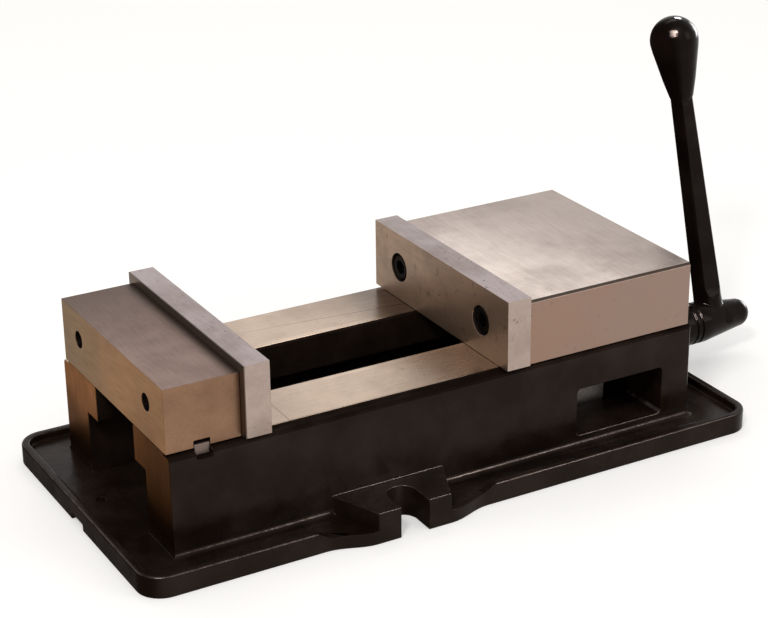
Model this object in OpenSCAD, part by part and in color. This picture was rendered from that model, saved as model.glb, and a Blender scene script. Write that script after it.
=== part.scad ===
// Angle-lock machine vise on a tray base, jaws fully open.
// The crank and the lead screw are at +X, the ways run along X and Z is up.
// The origin is on the table, midway between the two ear slots.

/* [Bed] */
// Height of the ground ways above the table
way_h = 68; // [62:0.5:76]
// Overall width of the bed casting
bed_w = 149; // [142:0.5:156]
// Width of the channel between the ways
channel_w = 53; // [50:0.5:58]
// Width over the ground tops of both ways
ground_w = 135.2; // [128:0.2:138]
// Drop of the enamelled ledge beside the ground tops
ledge_drop = 1.2; // [0.6:0.1:2.5]
// Chamfer along the inner edge of each way
way_chamfer = 1.2; // [0.5:0.1:2]
// Length of the bed from the ear slots to the fixed-jaw end
bed_left = 131.2; // [126:0.2:140]
// Length of the bed beyond the moving jaw at full opening
bed_tail = 2.8; // [1:0.1:8]
// Radius of the upright corners at the crank end
bed_corner_r = 2.5; // [2:0.5:8]
// Radius along the outer top edge of the bed
ledge_r = 2.2; // [1:0.1:4]
// Width of the wide lower cavity in which the nut runs
cavity_w = 82; // [78:0.5:88]
// Height of the underside of the overhanging ways
cavity_top = 46; // [43:0.5:49]
// Height of the cavity floor above the table
cavity_floor = 6.5; // [5:0.25:7]
// Tray floor left in front of the cavity, inside the open end
sill_len = 3.5; // [1:0.5:8]
// Thickness of the wall that carries the screw
end_wall_t = 19.1; // [16:0.1:24]
// Height of that wall between the ways
end_wall_h = 60; // [52:0.5:64]

/* [Side windows] */
// Distance from the crank end to the window
window_inset = 21; // [14:0.5:40]
// Length of the window
window_len = 60.5; // [30:0.5:70]
// Height of the window
window_h = 30; // [16:0.5:32]
// Height of the window sill above the table
window_sill = 14; // [12:0.5:18]
// Corner radius of the window
window_r = 2.5; // [1:0.5:6]

/* [Tray] */
// Length of the tray beyond the fixed-jaw end of the bed
tray_out = 26.2; // [20:0.2:32]
// Length of the tray beyond the crank end of the bed
tray_tail = 31.7; // [25:0.1:36]
// Width of the tray
tray_w = 196; // [186:0.5:204]
// Thickness of the tray floor
floor_t = 8; // [7:0.25:9.5]
// Height of the rim above the table
rim_h = 12.8; // [11:0.1:16]
// Width of the rim
rim_w = 5; // [3.5:0.25:7]
// Radius along both top edges of the rim
rim_r = 1.6; // [0.5:0.1:1.7]
// Fillet where the rim meets the tray floor
rim_foot_r = 1.5; // [0.5:0.1:2]
// Outer corner radius of the tray
tray_corner_r = 15; // [10:0.5:24]
// Fillet where the bed meets the tray floor
foot_r = 4; // [2:0.5:6]
// Radius of the drain hole
drain_r = 2.6; // [1.5:0.1:4]
// Distance of the drain hole from the end of the bed
drain_out = 8.3; // [6:0.1:12]
// Distance of the drain hole from the centre line
drain_y = 7.5; // [0:0.5:20]
// Width of the keyways under both ends
keyway_w = 16; // [12:0.5:18]
// Depth of the keyways
keyway_d = 4; // [2:0.25:5]
// Length of the keyways
keyway_len = 34; // [20:1:40]

/* [Clamping ears] */
// Distance from the centre line to the front of an ear
ear_reach = 105; // [102:0.5:112]
// Height of the raised boss of an ear
boss_h = 19; // [16:0.5:24]
// Length of the boss where it meets the bed
boss_root = 71; // [60:0.5:80]
// Length of the boss at its front
boss_front = 46; // [38:0.5:54]
// Width of the T-bolt slot
ear_slot_w = 17.5; // [12:0.5:19]
// Distance from the centre line to the closed end of the slot
ear_slot_in = 82; // [80:0.5:86]
// Length of the straight front of the low outline
apron_front = 48; // [44:0.5:60]
// Length over which the low outline bulges from the tray
apron_root = 102; // [90:1:110]
// Length of the gap in the rim, at the floor
rim_gap = 97; // [90:1:104]
// Run of the sloped rim end
rim_slope = 9; // [5:0.5:12]

/* [Fixed jaw] */
// Length of the fixed jaw block
fixed_len = 44.2; // [42:0.2:50]
// Width of the fixed jaw block
fixed_w = 141.7; // [139:0.1:146]
// Height of the fixed jaw block
fixed_h = 38; // [35:0.5:42]
// Width of the cross key
key_w = 9.5; // [7:0.25:11]
// Height of the cross key
key_h = 7; // [6:0.25:8]
// Depth of the key seat in the bed
key_seat = 5; // [3:0.25:5.5]
// Depth of the key slot in the jaw block
key_slot = 4.2; // [3:0.1:5]
// Distance of the key from the rear of the block
key_inset = 16.2; // [14:0.1:17]
// Pitch of the two hold-down bolts
hold_pitch = 120; // [116:0.5:122]
// Distance of the hold-down bolts from the front of the block
hold_inset = 9.5; // [9:0.1:10]
// Length of a hold-down bolt below its head
hold_len = 62; // [56:0.5:66]

/* [Moving jaw] */
// Length of the moving jaw block
moving_len = 113.3; // [110:0.1:114]
// Width of the moving jaw block
moving_w = 148; // [142:0.5:150]
// Height of the moving jaw block
moving_h = 39.5; // [37:0.5:44]
// Chamfer along both upper side edges of the moving jaw block
moving_chamfer = 1.5; // [0.5:0.1:2.5]
// Opening between the jaw plates at rest
opening = 149; // [148.8:0.1:160]
// Thickness of the pocket's roof
roof_t = 10; // [8:0.5:12]
// Width of the pocket for the nut
pocket_w = 40.8; // [38:0.2:44]
// Distance from the block's front to the pocket's front at the ball
pocket_in = 32.5; // [31:0.5:34]
// Length from the block's front to the pocket's rear
pocket_len = 95; // [90:0.5:98]
// Distance from the block's front to the keel between the ways
keel_in = 10; // [6:0.5:16]
// Length of the keel
keel_len = 75; // [60:1:76]
// Depth of the keel below the tops of the ways
keel_d = 18; // [12:0.5:19]

/* [Jaw plates] */
// Width of the jaw plates
plate_w = 152.4; // [150:0.2:156]
// Height of the jaw plates
plate_h = 42.7; // [40:0.1:48]
// Thickness of the jaw plates
plate_t = 15.5; // [14:0.25:18]
// Gap under the jaw plates
plate_lift = 0.3; // [0.3:0.1:1]
// Pitch of the two plate screws
plate_pitch = 94; // [86:0.5:100]
// Height of the plate screws above the ways
plate_screw_h = 21.2; // [20:0.1:24]
// Diameter of the plate screws
plate_screw_d = 10; // [8:0.5:10]
// Diameter of the counterbore
plate_bore_d = 18; // [17:0.25:20]

/* [Angle-lock drive] */
// Height of the screw's axis above the table
screw_h = 26.5; // [26:0.25:28]
// Diameter of the lead screw
screw_d = 25.4; // [20:0.2:26]
// Distance of the screw's free end beyond the ear slots
screw_left = 45; // [40:0.5:60]
// Tilt of the nut's clamping face from upright
lock_angle = 26.5; // [20:0.5:30]
// Diameter of the half ball
ball_d = 25.4; // [20:0.2:27]
// Height of the ball's centre above the ways
ball_h = 15.5; // [14:0.5:17]
// Distance from the moving block's front to the ball's centre
ball_in = 36; // [35:0.5:37]
// Width of the nut's upright stem
stem_w = 40; // [34:0.5:40]
// Width of the nut's foot under the ways
nut_w = 74; // [60:0.5:76]
// Distance from the block's front to the nut's front
nut_in = 22; // [18:0.5:26]
// Length of the nut's foot
nut_len = 58; // [50:0.5:59]
// Length of the stem measured from the ball's centre to its rear
stem_len = 41; // [36:0.5:43]
// Diameter of the backlash screw behind the nut
adjust_d = 10; // [8:0.5:12]
// Diameter of the screw's shoulder
shoulder_d = 35; // [32:0.5:36]
// Thickness of the screw's shoulder
shoulder_t = 6; // [4:0.5:7]
// Diameter of the screw's journal
journal_d = 20; // [18:0.25:22]
// Thickness of one thrust washer
washer_t = 2.5; // [1.5:0.25:3]
// Thickness of the needle cage
cage_t = 3; // [2:0.25:4]
// Number of needles in the thrust bearing
needles = 20; // [12:1:24]
// Outer diameter of the bronze bush
bush_d = 28; // [26:0.5:30]

/* [Retainer and collar] */
// Width of the retaining plate
retainer_w = 66; // [60:0.5:72]
// Height of the retaining plate
retainer_h = 42; // [40:0.5:46]
// Thickness of the retaining plate
retainer_t = 10; // [9:0.25:12]
// Thickness of the lock collar
collar_t = 12; // [10:0.25:13]
// Diameter of the lock collar
collar_d = 34; // [30:0.5:35]
// Diameter of the retainer screws
small_screw_d = 6; // [5:0.25:6]

/* [Crank handle] */
// Width across the flats of the drive hexagon
hex_w = 19; // [16:0.25:19.25]
// Length of drive hexagon left bare between the lock collar and the hub
hex_bare = 15.6; // [8:0.2:20]
// Length of the hub
hub_len = 64.5; // [62:0.5:68]
// Radius of the hub's collar
hub_r = 13.4; // [13:0.1:16]
// Length of the hub's collar
hub_collar = 24; // [20:0.5:26]
// Radius of the hub's rounded tip
tip_r = 9.2; // [8.5:0.1:11]
// Depth of the hexagon socket
socket_d = 36; // [30:0.5:37]
// Distance of the arm's centre line from the hub's inner end
arm_in = 35.8; // [34:0.2:37]
// Lean of the arm from upright, turned about the screw
arm_angle = 16.4; // [0:0.2:45]
// Width of the arm at the hub
arm_root = 14; // [13:0.25:16]
// Width of the arm under its neck
arm_top = 11.2; // [10:0.2:13]
// Distance from the screw's axis to the centre of the knob
knob_reach = 181.5; // [160:0.5:200]
// Radius of the knob
knob_r = 15.5; // [13:0.25:18]
// Radius of the neck
neck_r = 7.6; // [6.5:0.1:9]
// Length from the neck to the knob's centre
neck_len = 36; // [30:0.5:42]
// Diameter of the spring plunger in the hub
plunger_d = 8; // [6:0.25:9]
// Distance of the plunger from the hub's inner end
plunger_in = 43; // [41:0.25:45]
// Length of the plunger
plunger_len = 4; // [3:0.25:4.5]

/* [Hidden] */
$fn = 96;
cut = 1;            // overrun of every cut
seat_gap = 0.3;     // gap at seats that only rest
run_gap = 0.05;     // radial clearance of a running fit
slide_gap = 0.4;    // clearance of a slide in its guide
hex_gap = 0.25;     // clearance of the drive hexagon in its socket
free_gap = 1;       // clearance between pieces that never touch
tip_gap = 2;        // depth of a blind hole beyond the screw's tip

fixed_x = -bed_left;
fixed_face_x = fixed_x + fixed_len + plate_t;
moving_face_x = fixed_face_x + opening;
moving_x = moving_face_x + plate_t;
bed_right = moving_x + moving_len + bed_tail;
tray_left = bed_left + tray_out;
tray_right = bed_right + tray_tail;
end_wall_x = bed_right - end_wall_t;
channel_r = channel_w / 2;
cavity_r = cavity_w / 2;
bed_r = bed_w / 2;
tray_r = tray_w / 2;
ground_r = ground_w / 2;
ledge_z = way_h - ledge_drop;
key_x = fixed_x + key_inset;
key_z = way_h - key_seat;
hold_x = fixed_x + fixed_len - hold_inset;
hold_d = 12;
hold_head_d = 18;
hold_head_h = 12;
hold_bore_d = 20;
hold_clear_d = 13;
hold_seat_z = floor_t + hold_head_h;
plate_z = way_h + plate_lift;
plate_screw_z = way_h + plate_screw_h;
plate_head_d = 16;
plate_head_h = 9.5;
plate_head_seat = 10.3;
plate_screw_len = 26;
ball_x = moving_x + ball_in;
ball_z = way_h + ball_h;
pocket_z = way_h + moving_h - roof_t;
stem_top = pocket_z - 1.5 * slide_gap;
nut_x = moving_x + nut_in;
nut_floor = cavity_floor + free_gap;
nut_top = cavity_top - slide_gap;
stem_rear_x = ball_x + stem_len;
pocket_rear_x = moving_x + pocket_len;
washer_out_x = end_wall_x - washer_t;
cage_x = washer_out_x - cage_t;
washer_in_x = cage_x - washer_t;
shoulder_x = washer_in_x - shoulder_t;
washer_d = shoulder_d;
needle_r = cage_t / 2 - run_gap;
needle_in = journal_d / 2 + tip_gap;
needle_len = washer_d / 2 - needle_in - free_gap;
retainer_x = bed_right;
retainer_z = floor_t + free_gap;
retainer_bore_d = journal_d + free_gap;
retainer_seat = 6.4;
retainer_edge = 6;
small_head_d = 10;
small_head_h = 6;
small_screw_len = 16;
collar_x = retainer_x + retainer_t + seat_gap;
hex_x = collar_x + collar_t;
hub_x = hex_x + hex_bare;
hex_end_x = hub_x + socket_d - seat_gap;
nose_d = 11;
nose_len = 13;
hub_bore_d = nose_d + free_gap;
hub_bore_len = socket_d + nose_len + free_gap;
hub_edge = 1;
arm_x = hub_x + arm_in;
plunger_x = hub_x + plunger_in;
plunger_ball_r = 2;
neck_s = knob_reach - neck_len;
groove_r = 1.1;
groove_share = [0.66, 0.84];
socket_share = 0.55;
socket_w_share = 0.8;

function smooth(t) = t * t * (3 - 2 * t);
function mirror_points(points) = [for (i = [len(points) - 1 : -1 : 0]) [-points[i][0], points[i][1]]];

// A bar along X, from x on, centred on y = 0
module bar_x(x, length, width, z, height) {
    translate([x, -width / 2, z]) cube([length, width, height]);
}

// A round bar along +X that starts at the current place
module rod_x(length, d) {
    rotate([0, 90, 0]) cylinder(h = length, d = d);
}

// A profile drawn in X and Z, made as thick as width about y = 0
module slab_y(width) {
    translate([0, width / 2, 0]) rotate([90, 0, 0]) linear_extrude(width) children();
}

// A round pin along +X with chamfered ends
module pin_x(length, d, chamfer) {
    rotate([0, 90, 0]) rotate_extrude() polygon([
        [0, 0], [d / 2 - chamfer, 0], [d / 2, chamfer],
        [d / 2, length - chamfer], [d / 2 - chamfer, length], [0, length]
    ]);
}

// A socket-head screw with its head above z = 0 and its shank below
module cap_screw(d, head_d, head_h, length) {
    chamfer = d / 10;
    difference() {
        union() {
            rotate_extrude() polygon([
                [0, 0], [head_d / 2, 0], [head_d / 2, head_h - chamfer],
                [head_d / 2 - chamfer, head_h], [0, head_h]
            ]);
            translate([0, 0, -length]) rotate_extrude() polygon([
                [0, 0], [d / 2 - chamfer, 0], [d / 2, chamfer], [d / 2, length], [0, length]
            ]);
        }
        translate([0, 0, head_h * (1 - socket_share)])
            cylinder(h = head_h * socket_share + cut, d = d * socket_w_share / cos(30), $fn = 6);
    }
}

// A headless screw along +X whose socket is at its far end
module set_screw_x(d, length) {
    difference() {
        pin_x(length, d, d / 10);
        translate([length - d * socket_share, 0, 0]) rotate([0, 90, 0])
            cylinder(h = d * socket_share + cut, d = d * socket_share / cos(30), $fn = 6);
    }
}

// A flat rounded rectangle between two corners
module round_rect(x0, y0, x1, y1, r) {
    translate([x0 + r, y0]) square([x1 - x0 - 2 * r, y1 - y0]);
    translate([x0, y0 + r]) square([x1 - x0, y1 - y0 - 2 * r]);
    for (x = [x0 + r, x1 - r], y = [y0 + r, y1 - r])
        translate([x, y]) circle(r);
}

// The low outline of one ear: a straight front that runs back to the tray in two S-curves
module apron_outline() {
    steps = 8;
    run = (apron_root - apron_front) / 2;
    bulge = ear_reach - tray_r;
    side = [for (i = [0 : steps])
        [apron_front / 2 + run * i / steps, ear_reach - bulge * smooth(i / steps)]];
    polygon(concat(mirror_points(side), side, [[apron_root / 2, bed_r], [-apron_root / 2, bed_r]]));
}

module tray_outline() {
    round_rect(-tray_left, -tray_r, tray_right, tray_r, tray_corner_r);
}

// The bed's outline from above, square at the open end and rounded at the crank end
module bed_outline() {
    translate([-bed_left, -bed_r]) square([bed_left + bed_right - bed_corner_r, bed_w]);
    translate([0, bed_corner_r - bed_r])
        square([bed_right, bed_w - 2 * bed_corner_r]);
    for (side = [-1, 1])
        translate([bed_right - bed_corner_r, side * (bed_r - bed_corner_r)]) circle(bed_corner_r);
}

// The bed's section: ground tops, enamelled ledges and rounded outer edges
module bed_section() {
    inner = bed_r - ledge_r;
    difference() {
        union() {
            translate([-inner, 0]) square([2 * inner, ledge_z]);
            translate([-bed_r, 0]) square([bed_w, ledge_z - ledge_r]);
            for (side = [-1, 1])
                translate([side * inner, ledge_z - ledge_r]) circle(ledge_r);
            translate([-ground_r, 0]) square([ground_w, way_h]);
        }
        translate([-bed_w, -cut]) square([2 * bed_w, floor_t + cut]);
    }
}

// The inverted T that the nut and the keel run in
module channel_section() {
    translate([-channel_r, cavity_top - cut]) square([channel_w, way_h - cavity_top + 2 * cut]);
    translate([-cavity_r, cavity_floor]) square([cavity_w, cavity_top - cavity_floor]);
    polygon([
        [-channel_r - way_chamfer, way_h], [-channel_r - way_chamfer, way_h + cut],
        [channel_r + way_chamfer, way_h + cut], [channel_r + way_chamfer, way_h],
        [channel_r, way_h - way_chamfer], [-channel_r, way_h - way_chamfer]
    ]);
}

// A section drawn in Y and Z, run along X
module run_x(x, length) {
    translate([x, 0, 0]) rotate([90, 0, 90]) linear_extrude(length) children();
}

// A concave fillet strip along X at a foot whose outer face is at y = 0
module foot_strip(length) {
    rotate([90, 0, 90]) linear_extrude(length) difference() {
        square(foot_r);
        translate([foot_r, foot_r]) circle(foot_r);
    }
}

// The fillet at the foot of the bed, along both sides and round the crank end
module bed_foot() {
    straight = bed_left + bed_right - bed_corner_r;
    for (side = [0, 1]) mirror([0, side, 0]) {
        difference() {
            translate([-bed_left, bed_r, floor_t]) foot_strip(straight);
            linear_extrude(boss_h) boss_outline();
        }
        translate([bed_right - bed_corner_r, bed_r - bed_corner_r, floor_t])
            rotate_extrude(angle = 90) translate([bed_corner_r, 0]) difference() {
                square(foot_r);
                translate([foot_r, foot_r]) circle(foot_r);
            }
    }
    translate([bed_right, bed_r - bed_corner_r, floor_t])
        rotate([0, 0, -90]) foot_strip(bed_w - 2 * bed_corner_r);
}

// The raised part of one ear from above, tapering from the bed to the front
module boss_outline() {
    polygon([
        [-boss_root / 2, bed_r], [-boss_front / 2, ear_reach],
        [boss_front / 2, ear_reach], [boss_root / 2, bed_r]
    ]);
}

// The U-shaped T-bolt slot of one ear
module ear_slot() {
    r = ear_slot_w / 2;
    translate([0, ear_slot_in + r, -cut]) {
        cylinder(h = boss_h + 2 * cut, r = r);
        translate([-r, 0, 0]) cube([ear_slot_w, ear_reach - ear_slot_in + cut, boss_h + 2 * cut]);
    }
}

// The gap in the rim at an ear, with sloped ends
module rim_gap_cut() {
    half = rim_gap / 2;
    rise = rim_h - floor_t;
    lift = cut * rise / rim_slope;
    deep = rim_w + rim_foot_r + 2 * cut;
    translate([0, tray_r + cut, 0]) rotate([90, 0, 0]) linear_extrude(deep) polygon([
        [-half, floor_t - cut], [-half, floor_t], [-half - rim_slope - cut, rim_h + lift],
        [half + rim_slope + cut, rim_h + lift], [half, floor_t], [half, floor_t - cut]
    ]);
}

// The rim's section: its outer face is at x = 0 and its foot runs out into the tray
module rim_section() {
    translate([0, floor_t]) square([rim_w, rim_h - floor_t - rim_r]);
    translate([rim_r, floor_t]) square([rim_w - 2 * rim_r, rim_h - floor_t]);
    for (x = [rim_r, rim_w - rim_r]) translate([x, rim_h - rim_r]) circle(rim_r);
    translate([rim_w, floor_t]) difference() {
        square(rim_foot_r);
        translate([rim_foot_r, rim_foot_r]) circle(rim_foot_r);
    }
}

// The raised edge round the tray, open at both ears
module tray_rim() {
    r = tray_corner_r;
    color([0.05, 0.05, 0.055]) difference() {
        union() {
            for (side = [0, 1]) mirror([0, side, 0]) {
                run_x(r - tray_left, tray_left + tray_right - 2 * r)
                    translate([-tray_r, 0]) rim_section();
                translate([r - tray_left, r - tray_r, 0]) rotate([0, 0, 180]) rim_corner();
                translate([tray_right - r, r - tray_r, 0]) rotate([0, 0, -90]) rim_corner();
            }
            slab_y(tray_w - 2 * r) {
                translate([-tray_left, 0]) rim_section();
                translate([tray_right, 0]) mirror([1, 0]) rim_section();
            }
        }
        for (side = [0, 1]) mirror([0, side, 0]) rim_gap_cut();
    }
}

// One rounded corner of the rim
module rim_corner() {
    rotate_extrude(angle = 90) translate([tray_corner_r, 0]) mirror([1, 0]) rim_section();
}

// Both clamping ears, let into the tray floor: low aprons and raised bosses with open slots
module ears() {
    color([0.05, 0.05, 0.055]) for (side = [0, 1]) mirror([0, side, 0]) difference() {
        union() {
            linear_extrude(floor_t) apron_outline();
            linear_extrude(boss_h) boss_outline();
        }
        ear_slot();
    }
}

// The tray floor, notched for the ears
module tray_floor() {
    color([0.05, 0.05, 0.055]) difference() {
        linear_extrude(floor_t) tray_outline();
        for (side = [0, 1]) mirror([0, side, 0]) translate([-apron_root / 2, bed_r, -cut])
            cube([apron_root, tray_r - bed_r + cut, floor_t + 2 * cut]);
        // Recess that makes room for the nut
        translate([sill_len - bed_left, -cavity_r, cavity_floor])
            cube([end_wall_x + bed_left - sill_len, cavity_w, floor_t]);
        hold_places() translate([0, 0, -cut]) cylinder(h = floor_t + 2 * cut, d = hold_bore_d);
        // Keyways under both ends
        bar_x(-tray_left - cut, keyway_len + cut, keyway_w, -cut, keyway_d + cut);
        bar_x(tray_right - keyway_len, keyway_len + cut, keyway_w, -cut, keyway_d + cut);
        translate([-bed_left - drain_out, drain_y, -cut])
            cylinder(h = floor_t + 2 * cut, r = drain_r);
    }
}

// Both side windows in one cut
module windows() {
    x1 = bed_right - window_inset;
    translate([0, bed_r + cut, 0]) rotate([90, 0, 0]) linear_extrude(bed_w + 2 * cut)
        round_rect(x1 - window_len, window_sill, x1, window_sill + window_h, window_r);
}

// Bored hole along X at the screw's height
module screw_hole(x, length, d) {
    translate([x, 0, screw_h]) rod_x(length, d);
}

module retainer_places() {
    for (y = [-1, 1], z = [retainer_z + retainer_edge, retainer_z + retainer_h - retainer_edge])
        translate([retainer_x, y * (retainer_w / 2 - retainer_edge), z]) children();
}

module hold_places() {
    for (side = [-1, 1]) translate([hold_x, side * hold_pitch / 2, 0]) children();
}

// The bed between two heights, with its channel, bores and windows
module bed_between(z0, z1) {
    intersection() {
        difference() {
            union() {
                bed_foot();
                intersection() {
                    run_x(-bed_left, bed_left + bed_right) bed_section();
                    linear_extrude(way_h + cut) bed_outline();
                }
            }
            run_x(-bed_left - cut, bed_left + cut + end_wall_x) channel_section();
            // The end wall is lower than the ways
            bar_x(end_wall_x - cut, end_wall_t + 2 * cut, channel_w, end_wall_h, way_h);
            screw_hole(end_wall_x - cut, end_wall_t + 2 * cut, bush_d);
            windows();
            // Seat of the cross key, open at both sides of the bed
            bar_x(key_x, key_w, bed_w + 2 * cut, key_z, key_seat + cut);
            // Counterbored holes for the hold-down bolts
            hold_places() {
                cylinder(h = hold_seat_z, d = hold_bore_d);
                cylinder(h = way_h + cut, d = hold_clear_d);
            }
            retainer_places() translate([-small_screw_len, 0, 0])
                rod_x(small_screw_len + cut, small_screw_d + 2 * run_gap);
            // Spot face through the foot fillet for the retaining plate
            bar_x(bed_right, foot_r + cut, retainer_w + 2 * free_gap, floor_t, retainer_h);
        }
        translate([-tray_left, -tray_r, z0]) cube([tray_left + tray_right, tray_w, z1 - z0]);
    }
}

// The walls of the bed, which stand on the tray floor and join at the crank end
module bed_walls() {
    color([0.05, 0.05, 0.055]) bed_between(floor_t, cavity_top);
}

// The top of the bed: the ways that overhang the cavity
module vise_body() {
    color([0.05, 0.05, 0.055]) bed_between(cavity_top, way_h);
}

module plate_screw_holes(x, length, d) {
    for (side = [-1, 1])
        translate([x, side * plate_pitch / 2, plate_screw_z]) rod_x(length, d);
}

module fixed_jaw() {
    color([0.66, 0.6, 0.54]) difference() {
        bar_x(fixed_x, fixed_len, fixed_w, way_h, fixed_h);
        bar_x(key_x, key_w, fixed_w + 2 * cut, way_h - cut, key_slot + cut);
        plate_screw_holes(fixed_x - cut, fixed_len + 2 * cut, plate_screw_d + 2 * run_gap);
        hold_places() translate([0, 0, way_h - cut])
            cylinder(h = hold_seat_z + hold_len - way_h + tip_gap + cut, d = hold_d + 2 * run_gap);
    }
}

module fixed_jaw_key() {
    color([0.7, 0.68, 0.66])
        bar_x(key_x + run_gap, key_w - 2 * run_gap, fixed_w, key_z, key_h);
}

module fixed_jaw_bolts() {
    color([0.1, 0.1, 0.11]) hold_places() translate([0, 0, hold_seat_z])
        mirror([0, 0, 1]) cap_screw(hold_d, hold_head_d, hold_head_h, hold_len);
}

// A jaw plate whose gripping face is at x = 0 and whose back is at plate_t
module jaw_plate() {
    difference() {
        bar_x(0, plate_t, plate_w, plate_z, plate_h);
        plate_screw_holes(-cut, plate_t + 2 * cut, plate_screw_d + 4 * run_gap);
        plate_screw_holes(-cut, plate_head_seat + cut, plate_bore_d);
    }
}

// The two screws of that plate
module jaw_plate_screws() {
    for (side = [-1, 1])
        translate([plate_head_seat, side * plate_pitch / 2, plate_screw_z])
            rotate([0, -90, 0]) cap_screw(plate_screw_d, plate_head_d, plate_head_h, plate_screw_len);
}

module fixed_jaw_plate() {
    color([0.74, 0.72, 0.72]) translate([fixed_face_x, 0, 0]) mirror([1, 0, 0]) jaw_plate();
}

module fixed_jaw_plate_screws() {
    color([0.1, 0.1, 0.11]) translate([fixed_face_x, 0, 0]) mirror([1, 0, 0]) jaw_plate_screws();
}

module moving_jaw_plate() {
    color([0.74, 0.72, 0.72]) translate([moving_face_x, 0, 0]) jaw_plate();
}

module moving_jaw_plate_screws() {
    color([0.1, 0.1, 0.11]) translate([moving_face_x, 0, 0]) jaw_plate_screws();
}

// Place of a point of the tilted clamping face at height z
function tilt_x(x, z) = x + (ball_z - z) * tan(lock_angle);

// The frame of the half ball: +Z runs into the jaw, down and forward
module at_ball() {
    translate([ball_x, 0, ball_z]) rotate([0, -90 - lock_angle, 0]) children();
}

// The moving jaw block's outer section
module moving_section() {
    r = moving_w / 2;
    top = way_h + moving_h;
    polygon([
        [-r, way_h], [r, way_h], [r, top - moving_chamfer], [r - moving_chamfer, top],
        [moving_chamfer - r, top], [-r, top - moving_chamfer]
    ]);
}

// The hollow jaw: pocket for the nut, spherical seat and a keel between the ways
module moving_jaw() {
    front_x = moving_x + pocket_in;
    keel_z = way_h - keel_d;
    color([0.66, 0.6, 0.54]) difference() {
        union() {
            run_x(moving_x, moving_len) moving_section();
            bar_x(moving_x + keel_in, keel_len, channel_w - 2 * seat_gap, keel_z, keel_d + cut);
        }
        slab_y(pocket_w) polygon([
            [tilt_x(front_x, pocket_z), pocket_z], [pocket_rear_x, pocket_z],
            [pocket_rear_x, keel_z - cut], [tilt_x(front_x, keel_z - cut), keel_z - cut]
        ]);
        at_ball() sphere(d = ball_d + 2 * run_gap);
        plate_screw_holes(moving_x - cut, plate_screw_len, plate_screw_d + 2 * run_gap);
        translate([pocket_rear_x - cut, 0, ball_z])
            rod_x(moving_len - pocket_len + 2 * cut, adjust_d + 2 * run_gap);
    }
}

module half_ball() {
    color([0.62, 0.6, 0.58]) at_ball() intersection() {
        sphere(d = ball_d);
        translate([-ball_d, -ball_d, 0]) cube([2 * ball_d, 2 * ball_d, ball_d]);
    }
}

// The nut: a wide foot under the ways, and a stem whose face leans over the half ball
module jaw_nut() {
    color([0.45, 0.44, 0.43]) difference() {
        union() {
            bar_x(nut_x, nut_len, nut_w, nut_floor, nut_top - nut_floor);
            slab_y(stem_w) polygon([
                [tilt_x(ball_x, stem_top), stem_top], [stem_rear_x, stem_top],
                [stem_rear_x, nut_top - cut], [tilt_x(ball_x, nut_top - cut), nut_top - cut]
            ]);
        }
        screw_hole(nut_x - cut, nut_len + 2 * cut, screw_d + 2 * run_gap);
    }
}

module jaw_adjust_screw() {
    length = moving_x + moving_len - stem_rear_x - adjust_d / 4;
    color([0.1, 0.1, 0.11])
        translate([stem_rear_x, 0, ball_z]) set_screw_x(adjust_d, length);
}

// The screw: plain bar, shoulder, journal, drive hexagon and nose
module lead_screw() {
    chamfer = screw_d / 16;
    color([0.6, 0.59, 0.58]) translate([0, 0, screw_h]) {
        translate([-screw_left, 0, 0]) pin_x(shoulder_x + screw_left + chamfer, screw_d, chamfer);
        translate([shoulder_x, 0, 0]) rod_x(shoulder_t, shoulder_d);
        translate([shoulder_x, 0, 0]) rod_x(hex_x - shoulder_x, journal_d);
        difference() {
            translate([hex_x, 0, 0]) rotate([0, 90, 0])
                cylinder(h = hex_end_x - hex_x, d = hex_w / cos(30), $fn = 6);
            translate([hex_end_x - chamfer, 0, 0]) rotate([0, 90, 0]) difference() {
                cylinder(h = chamfer + cut, d = 2 * hex_w);
                cylinder(h = chamfer + cut, d1 = hex_w / cos(30), d2 = hex_w - 2 * chamfer);
            }
        }
        translate([hex_end_x - cut, 0, 0]) pin_x(nose_len + cut, nose_d, nose_d / 12);
    }
}

module thrust_ring(x, t, in_d, out_d) {
    translate([x, 0, screw_h]) difference() {
        rod_x(t, out_d);
        translate([-cut, 0, 0]) rod_x(t + 2 * cut, in_d);
    }
}

module thrust_washer_inner() {
    color([0.7, 0.7, 0.72])
        thrust_ring(washer_in_x, washer_t, journal_d + 4 * run_gap, washer_d);
}

module thrust_washer_outer() {
    color([0.7, 0.7, 0.72])
        thrust_ring(washer_out_x, washer_t, journal_d + 2 * run_gap, washer_d);
}

// The needle thrust bearing: a thin cage with needles that stand proud of it
module thrust_bearing() {
    thin = cage_t / 4;
    color([0.72, 0.6, 0.35]) {
        thrust_ring(cage_x + thin, cage_t - 2 * thin, journal_d + 4 * run_gap, washer_d);
        for (i = [0 : needles - 1])
            translate([cage_x + cage_t / 2, 0, screw_h]) rotate([360 * i / needles, 0, 0])
                translate([0, 0, needle_in]) cylinder(h = needle_len, r = needle_r, $fn = 24);
    }
}

module screw_bush() {
    color([0.72, 0.53, 0.28])
        thrust_ring(end_wall_x, end_wall_t, journal_d + 2 * run_gap, bush_d);
}

module retaining_plate() {
    color([0.08, 0.08, 0.085]) difference() {
        run_x(retainer_x, retainer_t)
            round_rect(-retainer_w / 2, retainer_z, retainer_w / 2, retainer_z + retainer_h,
                retainer_edge - free_gap);
        screw_hole(retainer_x - cut, retainer_t + 2 * cut, retainer_bore_d);
        retainer_places() {
            translate([-cut, 0, 0]) rod_x(retainer_t + 2 * cut, small_screw_d + 4 * run_gap);
            translate([retainer_t - retainer_seat, 0, 0])
                rod_x(retainer_seat + cut, small_head_d + 2 * hex_gap);
        }
    }
}

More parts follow.
